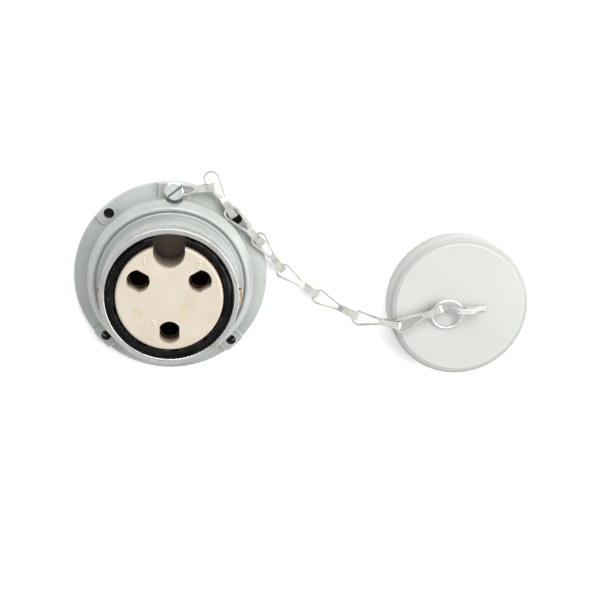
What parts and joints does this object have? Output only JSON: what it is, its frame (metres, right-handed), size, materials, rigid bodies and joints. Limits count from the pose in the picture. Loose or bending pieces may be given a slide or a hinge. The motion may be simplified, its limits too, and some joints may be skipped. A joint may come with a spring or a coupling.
{
  "type": "metal clad socket",
  "caption": "Round cast metal clad socket with a flange, ivory insert with pin holes and a keyway, rubber seal, earth strips and a cast cap on a folded link chain.",
  "frame": {"origin": "centre of the flange's back face", "axes": "+Z along the socket's axis towards its mouth, +X towards the cap as it lies, +Y towards the keyway and the chain screw"},
  "size_m": [0.2147, 0.0968, 0.0415],
  "materials": {
    "cast_housing": "light grey satin paint on a light-alloy casting, bare machined metal at the mouth of the barrel",
    "cast_cap": "light grey satin paint on a light-alloy casting",
    "moulded_insert": "ivory thermoset moulding, satin, faintly mottled",
    "seal_rubber": "black moulded rubber, semi-matte",
    "brass": "dull brass",
    "zinc_screw": "bright zinc plated steel",
    "chain_metal": "nickel plated strip, slightly warm, satin",
    "ring_wire": "bright drawn steel wire"
  },
  "bodies": {
    "socket": {"chain_screw": "zinc_screw", "contact_1": "brass", "contact_2": "brass", "contact_3": "brass", "earth_rivet_left": "brass", "earth_rivet_right": "brass", "earth_screw": "brass", "earth_strip_left": "brass", "earth_strip_right": "brass", "housing": "cast_housing", "insert": "moulded_insert", "insert_screw_1": "zinc_screw", "insert_screw_2": "zinc_screw", "seal_ring": "seal_rubber", "terminal_screw_1": "brass", "terminal_screw_2": "brass", "terminal_screw_3": "brass"},
    "link_1": {"chain_link_1": "chain_metal"},
    "link_2": {"chain_link_2": "chain_metal"},
    "link_3": {"chain_link_3": "chain_metal"},
    "link_4": {"chain_link_4": "chain_metal"},
    "link_5": {"chain_link_5": "chain_metal"},
    "link_6": {"chain_link_6": "chain_metal"},
    "link_7": {"chain_link_7": "chain_metal"},
    "link_8": {"chain_link_8": "chain_metal"},
    "ring": {"cap_ring": "ring_wire"},
    "cap": {"cap": "cast_cap"}
  },
  "joints": [
    {"name": "link_1_swing", "type": "hinge", "parent": "socket", "child": "link_1", "pos_m": [0.00197, 0.04175, 0.0077], "axis": [0, 0, 1], "range_deg": [0, 40]},
    {"name": "link_2_swing", "type": "hinge", "parent": "link_1", "child": "link_2", "pos_m": [0.018, 0.04318, 0.0077], "axis": [0, 0, 1], "range_deg": [0, 8]},
    {"name": "link_3_swing", "type": "hinge", "parent": "link_2", "child": "link_3", "pos_m": [0.02822, 0.03129, 0.0077], "axis": [0, 0, 1], "range_deg": [0, 4]},
    {"name": "link_4_swing", "type": "hinge", "parent": "link_3", "child": "link_4", "pos_m": [0.04075, 0.01888, 0.00702], "axis": [0, 0, 1], "range_deg": [0, 4]},
    {"name": "link_5_swing", "type": "hinge", "parent": "link_4", "child": "link_5", "pos_m": [0.05282, 0.00274, 0.00285], "axis": [0, 0, 1], "range_deg": [-20, 20]},
    {"name": "link_6_swing", "type": "hinge", "parent": "link_5", "child": "link_6", "pos_m": [0.07017, -0.00982, 0.00361], "axis": [0, 0, 1], "range_deg": [-20, 15]},
    {"name": "link_7_swing", "type": "hinge", "parent": "link_6", "child": "link_7", "pos_m": [0.08868, -0.01853, 0.00952], "axis": [0, 0, 1], "range_deg": [-20, 10]},
    {"name": "link_8_swing", "type": "hinge", "parent": "link_7", "child": "link_8", "pos_m": [0.10843, -0.01994, 0.01632], "axis": [0, 0, 1], "range_deg": [-15, 15]},
    {"name": "cap_ring_swing", "type": "hinge", "parent": "link_8", "child": "ring", "pos_m": [0.12273, -0.01328, 0.01646], "axis": [0, 0, 1], "range_deg": [-4, 20]},
    {"name": "cap_swing", "type": "hinge", "parent": "ring", "child": "cap", "pos_m": [0.13684, -0.0123, 0.01671], "axis": [0, 0, 1], "range_deg": [-10, 15]}
  ]
}
